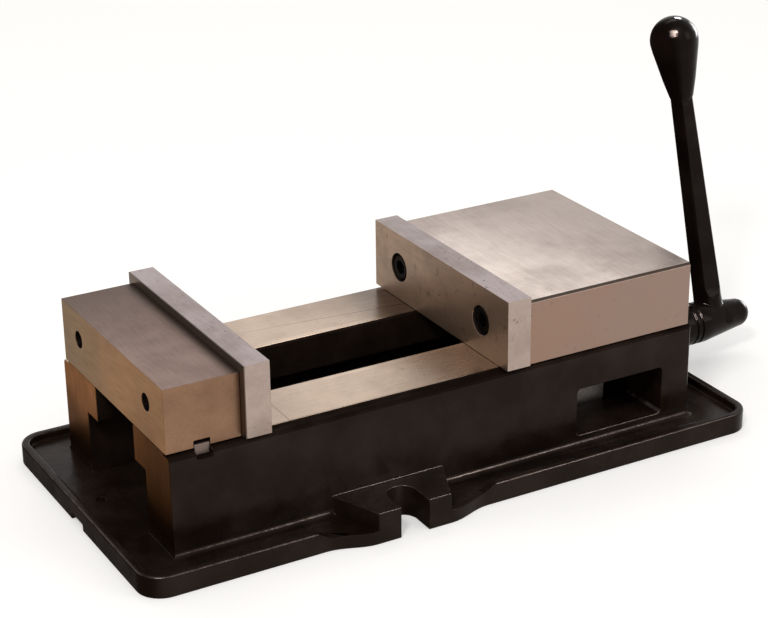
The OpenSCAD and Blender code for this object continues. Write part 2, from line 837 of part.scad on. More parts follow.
module retaining_plate_screws() {
    grip = retainer_t - retainer_seat;
    color([0.1, 0.1, 0.11]) retainer_places() translate([grip, 0, 0]) rotate([0, 90, 0])
        cap_screw(small_screw_d, small_head_d, small_head_h, small_screw_len + grip - tip_gap);
}

module lock_collar() {
    color([0.55, 0.54, 0.53]) difference() {
        thrust_ring(collar_x, collar_t, journal_d + 2 * run_gap, collar_d);
        translate([collar_x + collar_t / 2, 0, screw_h])
            cylinder(h = collar_d, d = small_screw_d + 2 * run_gap);
    }
}

module collar_set_screw() {
    foot = journal_d / 2 + run_gap;
    color([0.1, 0.1, 0.11]) translate([collar_x + collar_t / 2, 0, screw_h + foot])
        rotate([0, -90, 0]) set_screw_x(small_screw_d, collar_d / 2 - foot - 2 * seat_gap);
}

// The frame of the arm: +Z runs from the screw's axis to the knob
module at_arm() {
    translate([arm_x, 0, screw_h]) rotate([-arm_angle, 0, 0]) children();
}

// Side view of the arm, with a flare where it leaves the hub
module arm_profile() {
    flare = arm_root / 4;
    flare_s = hub_r + 1.2 * flare;
    polygon([
        [-arm_root / 2 - flare, 0], [-arm_root / 2 - flare, hub_r - flare / 2],
        [-arm_root / 2 - flare / 4, flare_s - flare / 3], [-arm_root / 2, flare_s + flare],
        [-arm_top / 2, neck_s], [arm_top / 2, neck_s], [arm_root / 2, flare_s + flare],
        [arm_root / 2 + flare / 4, flare_s - flare / 3], [arm_root / 2 + flare, hub_r - flare / 2],
        [arm_root / 2 + flare, 0]
    ]);
}

// The arm: two crossed profiles, with their corners rounded off by a slim cone
module arm() {
    corner_share = 0.61;
    root_share = 0.67;
    intersection() {
        slab_y(3 * arm_root) arm_profile();
        rotate([0, 0, 90]) slab_y(3 * arm_root) arm_profile();
        cylinder(h = neck_s, r1 = arm_root * root_share, r2 = arm_top * corner_share);
    }
}

// The pear-shaped knob: a ball on a cone that runs down to the neck
module knob() {
    lean = asin((knob_r - neck_r) / neck_len) * 0.9;
    shoulder = arm_top * 0.16;
    translate([0, 0, neck_s]) rotate_extrude() {
        polygon([
            [0, -shoulder * 2], [neck_r - shoulder, -shoulder * 2], [neck_r, 0],
            [neck_r + neck_len * 0.08, neck_len * 0.3],
            [knob_r * cos(lean) * 0.97, neck_len - knob_r * sin(lean) * 1.9],
            [knob_r * cos(lean), neck_len - knob_r * sin(lean)], [0, neck_len]
        ]);
        intersection() {
            translate([0, neck_len]) circle(knob_r);
            translate([0, neck_len - knob_r]) square([knob_r, 2 * knob_r]);
        }
    }
}

// The hub: a grooved collar, a taper and a rounded tip
module hub() {
    taper_end = hub_len - tip_r;
    rotate([0, 90, 0]) rotate_extrude() difference() {
        union() {
            polygon([
                [0, 0], [hub_r - hub_edge, 0], [hub_r, hub_edge], [hub_r, hub_collar + 2 * hub_edge],
                [tip_r, taper_end], [0, taper_end]
            ]);
            intersection() {
                translate([0, taper_end]) circle(tip_r);
                translate([0, taper_end - cut]) square([tip_r, tip_r + cut]);
            }
        }
        for (share = groove_share)
            translate([hub_r + groove_r / 3, hub_collar * share]) circle(groove_r);
    }
}

module crank_handle() {
    color([0.05, 0.05, 0.055]) difference() {
        union() {
            translate([hub_x, 0, screw_h]) hub();
            at_arm() {
                arm();
                knob();
            }
        }
        translate([hub_x - cut, 0, screw_h]) rotate([0, 90, 0])
            cylinder(h = socket_d + cut, d = (hex_w + 2 * hex_gap) / cos(30), $fn = 6);
        translate([hub_x, 0, screw_h]) rod_x(hub_bore_len, hub_bore_d);
        at_plunger() translate([0, 0, -run_gap])
            cylinder(h = hub_r, d = plunger_d + 2 * run_gap);
    }
}

// The frame of the plunger: +Z runs outward, square to the arm, on the near side
module at_plunger() {
    translate([plunger_x, 0, screw_h]) rotate([90 - arm_angle, 0, 0])
        translate([0, 0, nose_d / 2 + plunger_ball_r / 2]) children();
}

module hub_plunger() {
    color([0.12, 0.12, 0.125]) at_plunger() cylinder(h = plunger_len, d = plunger_d);
}

vise_body();
bed_walls();
tray_floor();
tray_rim();
ears();
fixed_jaw();
fixed_jaw_plate();
fixed_jaw_plate_screws();
fixed_jaw_bolts();
fixed_jaw_key();
moving_jaw();
moving_jaw_plate();
moving_jaw_plate_screws();
half_ball();
jaw_nut();
jaw_adjust_screw();
lead_screw();
screw_bush();
thrust_washer_outer();
thrust_bearing();
thrust_washer_inner();
retaining_plate();
retaining_plate_screws();
lock_collar();
collar_set_screw();
crank_handle();
hub_plunger();
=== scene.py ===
"""Looks of an angle-lock machine vise: enamelled casting, ground jaws and a black crank."""

import math

import bmesh
import bpy
from mathutils import Matrix, Vector
from mathutils.bvhtree import BVHTree


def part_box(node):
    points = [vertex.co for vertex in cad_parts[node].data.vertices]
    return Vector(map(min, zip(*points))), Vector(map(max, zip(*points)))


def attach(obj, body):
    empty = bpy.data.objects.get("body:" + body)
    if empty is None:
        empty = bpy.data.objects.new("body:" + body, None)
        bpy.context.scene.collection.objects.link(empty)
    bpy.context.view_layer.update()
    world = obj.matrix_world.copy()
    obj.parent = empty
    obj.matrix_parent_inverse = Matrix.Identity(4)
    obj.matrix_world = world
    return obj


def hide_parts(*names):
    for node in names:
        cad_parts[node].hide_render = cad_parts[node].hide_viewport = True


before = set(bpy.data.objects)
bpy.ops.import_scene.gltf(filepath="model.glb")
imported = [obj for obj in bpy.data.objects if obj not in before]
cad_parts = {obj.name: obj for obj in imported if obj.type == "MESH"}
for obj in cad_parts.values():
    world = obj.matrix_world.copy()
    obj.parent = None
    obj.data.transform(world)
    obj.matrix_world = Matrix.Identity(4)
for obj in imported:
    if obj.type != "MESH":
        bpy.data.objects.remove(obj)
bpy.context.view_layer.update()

MM = 0.001
PHOTO_W = 768
PHOTO_H = 618

# Heights and places read from the frame
WAY_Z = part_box("fixed_jaw")[0].z
BED_X0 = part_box("fixed_jaw")[0].x
FLOOR_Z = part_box("tray_floor")[1].z


# Camera, fitted to the corners of the jaws, the bed and the tray

CAMERA_AT = Vector((-500.7, -967.9, 565.8)) * MM
CAMERA_LOOKS_AT = Vector((47.4, 0.0, 85.4)) * MM
CAMERA_ROLL = math.radians(-0.6)
FOCAL_PX = 2066.2
CENTRE_PX = (394.5, 309.5)
SENSOR_MM = 36.0


def add_camera():
    """The camera that took the photograph."""
    data = bpy.data.cameras.new("camera")
    data.sensor_fit = "HORIZONTAL"
    data.sensor_width = SENSOR_MM
    data.lens = FOCAL_PX / PHOTO_W * SENSOR_MM
    data.shift_x = (PHOTO_W / 2 - CENTRE_PX[0]) / PHOTO_W
    data.shift_y = (CENTRE_PX[1] - PHOTO_H / 2) / PHOTO_W
    data.clip_start = 0.01
    data.clip_end = 50
    camera = bpy.data.objects.new("camera", data)
    aim = (CAMERA_LOOKS_AT - CAMERA_AT).to_track_quat("-Z", "Y").to_matrix().to_4x4()
    camera.matrix_world = Matrix.Translation(CAMERA_AT) @ aim @ Matrix.Rotation(CAMERA_ROLL, 4, "Z")
    bpy.context.scene.collection.objects.link(camera)
    bpy.context.scene.camera = camera


# Shader building

# Sockets of a Mix node that mixes colours
MIX_FACTOR, MIX_A, MIX_B, MIX_RESULT = 0, 6, 7, 2


class Shader:
    """Adds nodes to one node tree and links them; most methods return an output socket."""

    def __init__(self, name, world=False):
        self.owner = (bpy.data.worlds if world else bpy.data.materials).new(name)
        self.owner.use_nodes = True
        self.tree = self.owner.node_tree
        self.tree.nodes.clear()
        self.output = self.node("ShaderNodeOutputWorld" if world else "ShaderNodeOutputMaterial")
        texture = self.node("ShaderNodeTexCoord")
        self.place = texture.outputs["Object"]
        self.normal = texture.outputs["Normal"]
        self.direction = texture.outputs["Generated"]

    def node(self, kind, **settings):
        node = self.tree.nodes.new(kind)
        for key, value in settings.items():
            setattr(node, key, value)
        return node

    def put(self, socket, value):
        if isinstance(value, bpy.types.NodeSocket):
            self.tree.links.new(value, socket)
        elif isinstance(value, tuple) and len(value) == 3 and len(socket.default_value) == 4:
            socket.default_value = (*value, 1.0)
        else:
            socket.default_value = value

    def math(self, operation, a, b=0.0):
        node = self.node("ShaderNodeMath", operation=operation)
        self.put(node.inputs[0], a)
        self.put(node.inputs[1], b)
        return node.outputs[0]

    def times(self, *factors):
        total = factors[0]
        for factor in factors[1:]:
            total = self.math("MULTIPLY", total, factor)
        return total

    def split(self, vector):
        node = self.node("ShaderNodeSeparateXYZ")
        self.put(node.inputs[0], vector)
        return node.outputs

    def noise(self, scale, detail=3.0, rough=0.55, stretch=None, offset=0.0):
        """Noise whose scale is in cells per metre; stretch multiplies it along each axis."""
        node = self.node("ShaderNodeTexNoise", noise_dimensions="4D")
        place = self.place
        if stretch is not None:
            mapping = self.node("ShaderNodeMapping")
            self.put(mapping.inputs["Vector"], place)
            mapping.inputs["Scale"].default_value = stretch
            place = mapping.outputs[0]
        self.put(node.inputs["Vector"], place)
        node.inputs["Scale"].default_value = scale
        node.inputs["Detail"].default_value = detail
        node.inputs["Roughness"].default_value = rough
        node.inputs["W"].default_value = offset
        return node.outputs["Fac"]

    def ramp(self, value, low, high, start=0.0, end=1.0):
        """Maps value from low..high to start..end, clamped and smooth."""
        node = self.node("ShaderNodeMapRange", interpolation_type="SMOOTHSTEP")
        self.put(node.inputs["Value"], value)
        for name, number in (("From Min", low), ("From Max", high), ("To Min", start), ("To Max", end)):
            node.inputs[name].default_value = number
        return node.outputs[0]

    def band(self, value, middle, half, soft):
        """1 within half of middle, falling to 0 over soft."""
        away = self.math("ABSOLUTE", self.math("SUBTRACT", value, middle))
        return self.ramp(away, half, half + soft, 1.0, 0.0)

    def mix(self, fac, a, b):
        node = self.node("ShaderNodeMix", data_type="RGBA")
        self.put(node.inputs[MIX_FACTOR], fac)
        self.put(node.inputs[MIX_A], a)
        self.put(node.inputs[MIX_B], b)
        return node.outputs[MIX_RESULT]

    def bump(self, height, distance, strength=1.0, under=None):
        node = self.node("ShaderNodeBump")
        self.put(node.inputs["Height"], height)
        node.inputs["Distance"].default_value = distance
        node.inputs["Strength"].default_value = strength
        if under is not None:
            self.put(node.inputs["Normal"], under)
        return node.outputs[0]

    def surface(self, **values):
        node = self.node("ShaderNodeBsdfPrincipled")
        for key, value in values.items():
            self.put(node.inputs[key.replace("_", " ")], value)
        return node.outputs[0]

    def glow(self, colour, strength=1.0, kind="ShaderNodeEmission"):
        node = self.node(kind)
        self.put(node.inputs["Color"], colour)
        self.put(node.inputs["Strength"], strength)
        return node.outputs[0]

    def join(self, fac, a, b):
        node = self.node("ShaderNodeMixShader")
        self.put(node.inputs[0], fac)
        self.put(node.inputs[1], a)
        self.put(node.inputs[2], b)
        return node.outputs[0]

    def seen(self):
        """1 for camera, mirror and see-through rays, 0 for the rays that light things."""
        path = self.node("ShaderNodeLightPath")
        either = self.math("MAXIMUM", path.outputs["Is Camera Ray"], path.outputs["Is Glossy Ray"])
        return self.math("MAXIMUM", either, path.outputs["Is Transmission Ray"])

    def finish(self, shader):
        self.tree.links.new(shader, self.output.inputs["Surface"])
        return self.owner


# Materials: base tones, linear

ENAMEL = (0.0080, 0.0046, 0.0034)
ENAMEL_WORN = (0.020, 0.0125, 0.0095)
HANDLE = (0.0042, 0.0024, 0.0020)
HANDLE_WORN = (0.010, 0.0065, 0.0052)
# Pale tone of the painted highlight along the enamel's low edges
PAINTED_EDGE_HIGHLIGHT = (0.13, 0.105, 0.095)
# Tone of stains and specks, also used for painted shade in holes, joints and beside the plates
STAIN_AND_SHADE = (0.05, 0.034, 0.026)
LEG_BARE = (0.17, 0.075, 0.027)
LEG_DARK = (0.006, 0.003, 0.0015)

# Top, side, left and dark tones of each ground piece. The side and left tones are mostly darker
# and warmer than the top: partly the faces' own finish, partly a painted reflection of a darker,
# warm surround. The dark tone serves the marks and the painted shade.
BLOCK_TONES = ((0.96, 0.82, 0.735), (0.29, 0.18, 0.13), (0.29, 0.18, 0.13), (0.27, 0.205, 0.175))
FIXED_TONES = ((0.285, 0.193, 0.16), (0.27, 0.155, 0.094), (0.205, 0.084, 0.034), (0.10, 0.058, 0.04))
PLATE_TONES = ((0.44, 0.365, 0.36), (0.44, 0.345, 0.30), (0.32, 0.215, 0.15), (0.16, 0.11, 0.08))
WAY_TONES = ((0.73, 0.565, 0.44), (0.37, 0.28, 0.225), (0.37, 0.28, 0.225), (0.28, 0.20, 0.15))

# Tints of what a surface mirrors. Those of the legs, the fixed block and the plates are a
# painted warm reflection on their faces towards the fixed end.
WHITE = (1.0, 1.0, 1.0)
WARM = (1.0, 0.80, 0.72)
LEGS_REFLECTION_TINT = (0.93, 0.67, 0.56)
FIXED_REFLECTION_TINT = (1.0, 0.91, 0.74)
PLATES_REFLECTION_TINT = (1.0, 0.93, 0.85)
OXIDE_TINT = (0.45, 0.40, 0.37)

# Index of refraction of the enamels, and how much less or more it is in places
BODY_IOR = 1.20
HANDLE_IOR = 1.18
LEFT_IOR_DROP = 0.17
LEDGE_IOR_DROP = 0.17
FOOT_IOR_RISE = 0.15
# Weight of the painted highlight along the low edges of the casting
FOOT_HIGHLIGHT = 0.35

# Relief of the surfaces
LUMPS = 0.9 * MM
PEEL = 0.12 * MM
GRINDING = 0.02 * MM
OXIDE_RELIEF = 0.03 * MM
CAST_RELIEF = 0.08 * MM


def enamel_shader(s, gloss, black, worn, ior, edge_highlight=0.0, shine=0.0):
    """Black enamel on a casting: soft lumps, fine orange peel, a little dust in patches.

    Its colour takes a painted highlight in noisy dashes, weighted by the argument after ior, and shine
    adds to the index of refraction."""
    turned = s.ramp(s.split(s.normal)[0], -0.8, -0.3, LEFT_IOR_DROP, 0.0)
    patch = s.ramp(s.noise(38, 3, offset=3.1), 0.35, 0.75)
    colour = s.mix(patch, black, worn)
    # Painted highlight: paler colour in noisy dashes, as much as the caller asks
    bare = s.times(s.ramp(s.noise(150, 3, offset=4.4), 0.36, 0.6), edge_highlight)
    colour = s.mix(bare, colour, PAINTED_EDGE_HIGHLIGHT)
    lumps = s.bump(s.noise(110, 2, offset=1.0), LUMPS, 0.3)
    peel = s.bump(s.noise(650, 3, offset=7.0), PEEL, 0.4, lumps)
    rough = s.ramp(s.noise(60, 4, offset=5.0), 0.3, 0.75, gloss - 0.05, gloss + 0.1)
    return s.surface(Base_Color=colour, Roughness=rough, Normal=peel, Specular_Tint=WARM,
                     IOR=s.math("ADD", s.math("SUBTRACT", ior, turned), shine))


def ground_shader(s, tones, grain, rough, speck, offset, shade, metal=1.0, black=None, film=WHITE):
    """Surface-ground iron: grinding lines along one axis, clouds, stains and specks.

    The tones are those of the top, of the faces along the ways, of the faces towards the fixed
    end, and of the marks and painted shade. shade mixes in that dark tone, for marks and for
    painted shade, and black mixes in a stain tone, for stains and for painted shade. film is a
    painted tint of what the faces towards the fixed end mirror at a low angle."""
    top, side, left, dark = tones
    facing = s.split(s.normal)
    upright = s.ramp(s.math("ABSOLUTE", facing[2]), 0.3, 0.8, 1.0, 0.0)
    turned = s.ramp(facing[0], -0.8, -0.4, 1.0, 0.0)
    # Tone by facing: the darker, warmer sides are partly painted reflection
    base = s.mix(upright, top, s.mix(turned, side, left))
    cloud = s.ramp(s.noise(16, 4, 0.6, offset=offset), 0.40, 0.70)
    base = s.mix(s.times(cloud, 0.5), base, dark)
    drift = s.ramp(s.noise(55, 3, 0.6, offset=offset + 5), 0.45, 0.72)
    base = s.mix(s.times(drift, 0.18), base, dark)
    lines = s.noise(1000, 3, 0.7, grain, offset + 2)
    base = s.mix(s.ramp(lines, 0.35, 0.75, 0.0, 0.2), base, dark)
    spots = s.ramp(s.noise(300, 5, 0.75, offset=offset + 9), 0.575, 0.66)
    few = s.ramp(s.noise(26, 2, 0.5, offset=offset + 11), 0.45, 0.56)
    base = s.mix(s.times(spots, few, speck), base, STAIN_AND_SHADE)
    # Marks, and painted shade where the caller's shade mask asks for it
    base = s.mix(shade, base, dark)
    # Stains, and painted shade where the caller's black mask asks for it
    if black is not None:
        base = s.mix(black, base, STAIN_AND_SHADE)
    polish = s.math("ADD", s.ramp(lines, 0.3, 0.75, rough - 0.04, rough + 0.08), s.times(cloud, 0.05))
    # film is a painted tint of what the faces towards the fixed end mirror
    return s.surface(Base_Color=base, Metallic=metal, Roughness=polish,
                     Normal=s.bump(lines, GRINDING, 0.35), Specular_Tint=s.mix(turned, WHITE, film))


# Where the casting's look changes; a pair is the range of a gradient
WAY_DEPTH = 1.1 * MM
BACK_DEPTH, BACK_Y = 9 * MM, 60 * MM
RAGGED = 12 * MM
LEG_PAINT_Z = (FLOOR_Z + 6 * MM, FLOOR_Z + 14 * MM)
LEG_DARK_Z = (FLOOR_Z + 20 * MM, FLOOR_Z + 62 * MM)
LEG_DARK_Y = (-60 * MM, 20 * MM)
LEG_END_HALF, LEG_END_SOFT = 0.3 * MM, 0.05 * MM
STRIP_Y = (31 * MM, 31.8 * MM)
LINE_X, LINE_HALF = -56.3 * MM, 0.3 * MM
FIXED_END_SHADE_X = (-60 * MM, 0.0)
SHADOW_X, SHADOW_END_X = (22 * MM, 70 * MM), 93 * MM
SHADOW_Y = (-20 * MM, 25 * MM)
FOOT_Z, FOOT_HALF, FOOT_SOFT = 18.5 * MM, 6.3 * MM, 0.1 * MM
LEDGE_Z = 55 * MM


def body_material():
    """The casting: enamel all over, bare ground way tops and bare milled leg ends."""
    s = Shader("casting")
    place = s.split(s.place)
    facing = s.split(s.normal)
    level = s.times(s.math("GREATER_THAN", place[2], WAY_Z - WAY_DEPTH),
                    s.math("GREATER_THAN", facing[2], 0.9))
    back_edge = s.times(s.math("GREATER_THAN", place[2], WAY_Z - BACK_DEPTH),
                        s.math("GREATER_THAN", facing[2], 0.3),
                        s.math("GREATER_THAN", place[1], BACK_Y))
    tops = s.math("MAXIMUM", level, back_edge)
    ragged = s.math("ADD", place[2], s.times(s.noise(90, 3), RAGGED))
    ends = s.times(s.band(place[0], BED_X0, LEG_END_HALF, LEG_END_SOFT),
                   s.math("LESS_THAN", facing[0], -0.6), s.ramp(ragged, *LEG_PAINT_Z))

    # Ways: dimmer outside a strip along the channel and at a line across, with painted shade
    # towards the fixed end and beside the moving plate
    strip = s.ramp(s.math("ABSOLUTE", place[1]), *STRIP_Y, 0.0, 0.25)
    line = s.times(s.band(place[0], LINE_X, LINE_HALF, LINE_HALF), 0.9)
    fixed_end_shade = s.ramp(place[0], *FIXED_END_SHADE_X, 0.45, 0.0)
    side = s.ramp(place[1], *SHADOW_Y, 0.08, 0.74)
    shadow = s.times(s.ramp(place[0], *SHADOW_X), s.math("LESS_THAN", place[0], SHADOW_END_X), side)
    dim = s.math("MAXIMUM", s.math("MAXIMUM", strip, line), fixed_end_shade)
    ways = ground_shader(s, WAY_TONES, grain=(0.04, 1, 1), rough=0.25, speck=0.35, offset=4.0,
                         shade=dim, black=shadow)

    # Legs: dark towards the floor and towards the near side
    low = s.ramp(ragged, *LEG_DARK_Z, 1.0, 0.0)
    near = s.ramp(place[1], *LEG_DARK_Y, 0.92, 0.0)
    legs = ground_shader(s, (LEG_BARE, LEG_BARE, LEG_BARE, LEG_DARK), grain=(1, 1, 0.05), rough=0.42,
                         speck=0.6, offset=8.0, shade=s.math("MAXIMUM", low, near), film=LEGS_REFLECTION_TINT)

    # Enamel: glossier on the low edges, with a painted highlight along them, and duller on the ledges
    # beside the ways
    slope = s.band(facing[2], 0.5, 0.32, 0.1)
    low_edge = s.times(slope, s.band(place[2], FOOT_Z, FOOT_HALF, FOOT_SOFT))
    ledge = s.times(s.math("GREATER_THAN", facing[2], 0.18), s.math("GREATER_THAN", place[2], LEDGE_Z))
    shine = s.math("SUBTRACT", s.times(low_edge, FOOT_IOR_RISE), s.times(ledge, LEDGE_IOR_DROP))
    paint = enamel_shader(s, 0.24, ENAMEL, ENAMEL_WORN, BODY_IOR, s.times(low_edge, FOOT_HIGHLIGHT), shine)
    return s.finish(s.join(ends, s.join(tops, paint, ways), legs))


def ground_material(name, tones, rough, speck, offset, shade, metal=1.0, film=WHITE):
    """Ground iron with grinding lines across the vise; shade gives its dim and its black places."""
    s = Shader(name)
    dim, black = shade(s, s.split(s.place), s.split(s.normal))
    grain = (1, 0.05, 1)
    return s.finish(ground_shader(s, tones, grain, rough, speck, offset, dim, metal, black, film))


# Where the looks of the ground pieces change, as for the casting
BLOCK_FADE = (45 * MM, 215 * MM)
FIXED_FADE_Y = (-20 * MM, 75 * MM)
BESIDE_PLATE_X = (-97 * MM, -88 * MM)
BORE_INSET = 5 * MM
PLATE_BACK_HALF, PLATE_BACK_SOFT = 0.6 * MM, 0.2 * MM
PLATE_LOW_Z = (70 * MM, 100 * MM)
PLATE_NEAR_Y = (-65 * MM, 25 * MM)


def block_shade(s, place, facing):
    """Painted shade and reflection: the moving block's top darkens away from the near left corner, and
    its near chamfer is dark.
    """
    away = s.math("ADD", s.times(place[1], 0.65), place[0])
    chamfer = s.times(s.band(facing[2], 0.7, 0.18, 0.08), s.math("LESS_THAN", facing[1], -0.4))
    return s.ramp(away, *BLOCK_FADE, 0.0, 0.74), s.times(chamfer, 0.92)


def bores(s, place, facing, node):
    """Painted shade: how black the walls of the bolt holes are that run along X through a node."""
    low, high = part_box(node)
    return s.times(
        s.math("LESS_THAN", s.math("ABSOLUTE", place[1]), high.y - BORE_INSET),
        s.math("GREATER_THAN", place[2], low.z + BORE_INSET),
        s.math("LESS_THAN", place[2], high.z - BORE_INSET),
        s.math("LESS_THAN", s.math("ABSOLUTE", facing[0]), 0.6), 0.93)


def fixed_shade(s, place, facing):
    """Painted shade: the fixed block's top darkens towards its far end and beside the plate, and its
    bolt holes are black.
    """
    far = s.ramp(place[1], *FIXED_FADE_Y)
    top = s.math("GREATER_THAN", facing[2], 0.5)
    by_plate = s.times(s.ramp(place[0], *BESIDE_PLATE_X, 0.0, 0.8), top)
    return s.times(far, 0.9), s.math("MAXIMUM", by_plate, bores(s, place, facing, "fixed_jaw"))


def plate_marks_and_shade(s, place, facing):
    """Faces towards the fixed end have blotches and pits and darken towards the bottom and the near
    side; the back of the fixed plate is painted dark, as shade at its joint with the block.
    """
    back = s.band(place[0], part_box("fixed_jaw_plate")[0].x, PLATE_BACK_HALF, PLATE_BACK_SOFT)
    face = s.math("LESS_THAN", facing[0], -0.5)
    low = s.ramp(place[2], *PLATE_LOW_Z, 0.3, 0.0)
    near = s.ramp(place[1], *PLATE_NEAR_Y, 0.47, 0.0)
    blotch = s.ramp(s.noise(48, 5, 0.65, (1, 0.7, 1), 27.0), 0.47, 0.66, 0.0, 0.6)
    dim = s.times(s.math("MAXIMUM", s.math("MAXIMUM", low, near), blotch), face)
    pits = s.times(s.ramp(s.noise(170, 4, 0.7, (1, 1, 0.6), 33.0), 0.58, 0.68, 0.0, 0.5), face)
    black = s.math("MAXIMUM", s.times(back, 0.85), pits)
    return dim, s.math("MAXIMUM", black, bores(s, place, facing, "fixed_jaw_plate"))


def handle_material():
    """Glossy black enamel of the crank, its plunger and the retaining plate."""
    s = Shader("handle_enamel")
    return s.finish(enamel_shader(s, 0.16, HANDLE, HANDLE_WORN, HANDLE_IOR))


def oxide_material():
    """Black oxide on screws: dark, dull metal with worn edges."""
    s = Shader("black_oxide")
    rub = s.ramp(s.noise(900, 4, offset=2.0), 0.55, 0.8)
    colour = s.mix(rub, (0.008, 0.0065, 0.0055), (0.045, 0.036, 0.031))
    rough = s.ramp(s.noise(500, 3), 0.3, 0.7, 0.34, 0.5)
    relief = s.bump(s.noise(1500, 2), OXIDE_RELIEF, 0.5)
    return s.finish(s.surface(Base_Color=colour, Metallic=0.85, Roughness=rough, Normal=relief,
                              Specular_Tint=OXIDE_TINT))


def turned_material(name, colour, dark, rough):
    """Turned metal: fine rings round the X axis, with a thin film of aged oil."""
    s = Shader(name)
    rings = s.noise(1200, 3, 0.7, (1, 0.03, 0.03))
    film = s.ramp(s.noise(45, 4, offset=6.0), 0.4, 0.75)
    base = s.mix(s.times(film, 0.6), colour, dark)
    base = s.mix(s.ramp(rings, 0.4, 0.8, 0.0, 0.3), base, dark)
    polish = s.ramp(rings, 0.3, 0.7, rough, rough + 0.12)
    return s.finish(s.surface(Base_Color=base, Metallic=1.0, Roughness=polish,
                              Normal=s.bump(rings, GRINDING, 0.5)))


def cast_material():
    """Grey cast iron as it comes from the mill, for the nut."""
    s = Shader("machined_cast_iron")
    grain = s.noise(600, 4, 0.7)
    base = s.mix(s.ramp(grain, 0.35, 0.7), (0.30, 0.28, 0.26), (0.19, 0.17, 0.155))
    return s.finish(s.surface(Base_Color=base, Metallic=0.9, Roughness=0.45,
                              Normal=s.bump(grain, CAST_RELIEF, 0.5)))


# Rounded edges, made by modifiers so that the CAD meshes stay as they are

SHARP_ABOVE = math.radians(50)
FLAT_WITHIN = math.radians(0.3)
BEVEL_ABOVE = math.radians(28)
CASTING_BEVEL_ABOVE = math.radians(42)
CASTING_BEVEL = 0.6 * MM
WELD_WITHIN = 0.002 * MM
SPIKE_WIDTHS = 4


def smooth_group():
    """A geometry group that shades a mesh smooth, apart from its sharp edges."""
    group = bpy.data.node_groups.new("smooth_by_angle", "GeometryNodeTree")
    for way in ("INPUT", "OUTPUT"):
        group.interface.new_socket("Geometry", in_out=way, socket_type="NodeSocketGeometry")
    source = group.nodes.new("NodeGroupInput")
    result = group.nodes.new("NodeGroupOutput")
    angle = group.nodes.new("GeometryNodeInputMeshEdgeAngle")
    sharp = group.nodes.new("FunctionNodeCompare")
    sharp.operation = "LESS_THAN"
    group.links.new(angle.outputs["Unsigned Angle"], sharp.inputs[0])
    sharp.inputs[1].default_value = SHARP_ABOVE
    faces = group.nodes.new("GeometryNodeSetShadeSmooth")
    faces.domain = "FACE"
    edges = group.nodes.new("GeometryNodeSetShadeSmooth")
    edges.domain = "EDGE"
    group.links.new(source.outputs[0], faces.inputs[0])
    group.links.new(faces.outputs[0], edges.inputs[0])
    group.links.new(sharp.outputs[0], edges.inputs["Shade Smooth"])
    group.links.new(edges.outputs[0], result.inputs[0])
    return group


def round_edges(piece, width, angle=BEVEL_ABOVE):
    """Breaks the edges of a piece that turn by more than angle; the flats go on looking flat."""
    weld = piece.modifiers.new("weld", "WELD")
    weld.merge_threshold = WELD_WITHIN
    plane = piece.modifiers.new("plane", "DECIMATE")
    plane.decimate_type = "DISSOLVE"
    plane.angle_limit = FLAT_WITHIN
    if width:
        bevel = piece.modifiers.new("bevel", "BEVEL")
        bevel.width = width
        bevel.segments = 2
        bevel.limit_method = "ANGLE"
        bevel.angle_limit = angle
        bevel.use_clamp_overlap = False
        bevel.miter_outer = "MITER_ARC"
    smooth = piece.modifiers.new("smooth", "NODES")
    smooth.node_group = SMOOTH
    normals = piece.modifiers.new("normals", "WEIGHTED_NORMAL")
    normals.keep_sharp = True
    normals.weight = 100


def settle_spikes(piece):
    """Makes the bevel of a new piece its mesh, and puts corners that it threw out back in place.

    A corner further off than SPIKE_WIDTHS bevels goes to the nearest point of the bare surface."""
    bare = piece.data
    surface = BVHTree.FromPolygons([v.co for v in bare.vertices], [p.vertices for p in bare.polygons])
    reach = SPIKE_WIDTHS * piece.modifiers["bevel"].width
    for name in ("smooth", "normals"):
        piece.modifiers[name].show_viewport = False
    bpy.context.view_layer.update()
    mesh = bpy.data.meshes.new_from_object(piece.evaluated_get(bpy.context.evaluated_depsgraph_get()))
    for name in ("weld", "plane", "bevel"):
        piece.modifiers.remove(piece.modifiers[name])
    for name in ("smooth", "normals"):
        piece.modifiers[name].show_viewport = True
    for vertex in mesh.vertices:
        place, _, _, distance = surface.find_nearest(vertex.co)
        if distance > reach:
            vertex.co = place
    piece.data = mesh


def dress(piece, material):
    """Gives the whole piece one material."""
    piece.data.materials.clear()
    piece.data.materials.append(material)


# The casting as one piece

CASTING_NODES = ("vise_body", "bed_walls", "tray_floor", "tray_rim", "ears")


def join_casting():
    """One mesh of the nodes that make up the casting, so that no seam shows between them."""
    piece = bpy.data.objects.new("casting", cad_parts[CASTING_NODES[0]].data.copy())
    bpy.context.scene.collection.objects.link(piece)
    for node in CASTING_NODES[1:]:
        union = piece.modifiers.new(node, "BOOLEAN")
        union.operation = "UNION"
        union.solver = "EXACT"
        union.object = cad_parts[node]
    bpy.context.view_layer.update()
    joined = bpy.data.meshes.new_from_object(piece.evaluated_get(bpy.context.evaluated_depsgraph_get()))
    piece.modifiers.clear()
    piece.data = joined
    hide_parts(*CASTING_NODES)
    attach(piece, "base")
    return piece


# The lead screw with its thread

THREAD_PITCH = 5.08 * MM
THREAD_DEPTH = 2.4 * MM
THREAD_START = 4 * MM
THREAD_FLAT, THREAD_FLANK = 0.37, 0.26
ROUND_STEPS = 60
RINGS_PER_PITCH = 14
SHOULDER_LENGTH = 6 * MM
NOSE_LENGTH = 13 * MM


def thread_radius(x, angle, crest):
    """Radius of a left-hand trapezoidal thread at one place on its surface."""
    phase = (x / THREAD_PITCH + angle / math.tau) % 1.0
    rise = abs(2 * phase - 1)
    return crest - THREAD_DEPTH * min(1.0, max(0.0, (rise - THREAD_FLAT) / THREAD_FLANK))


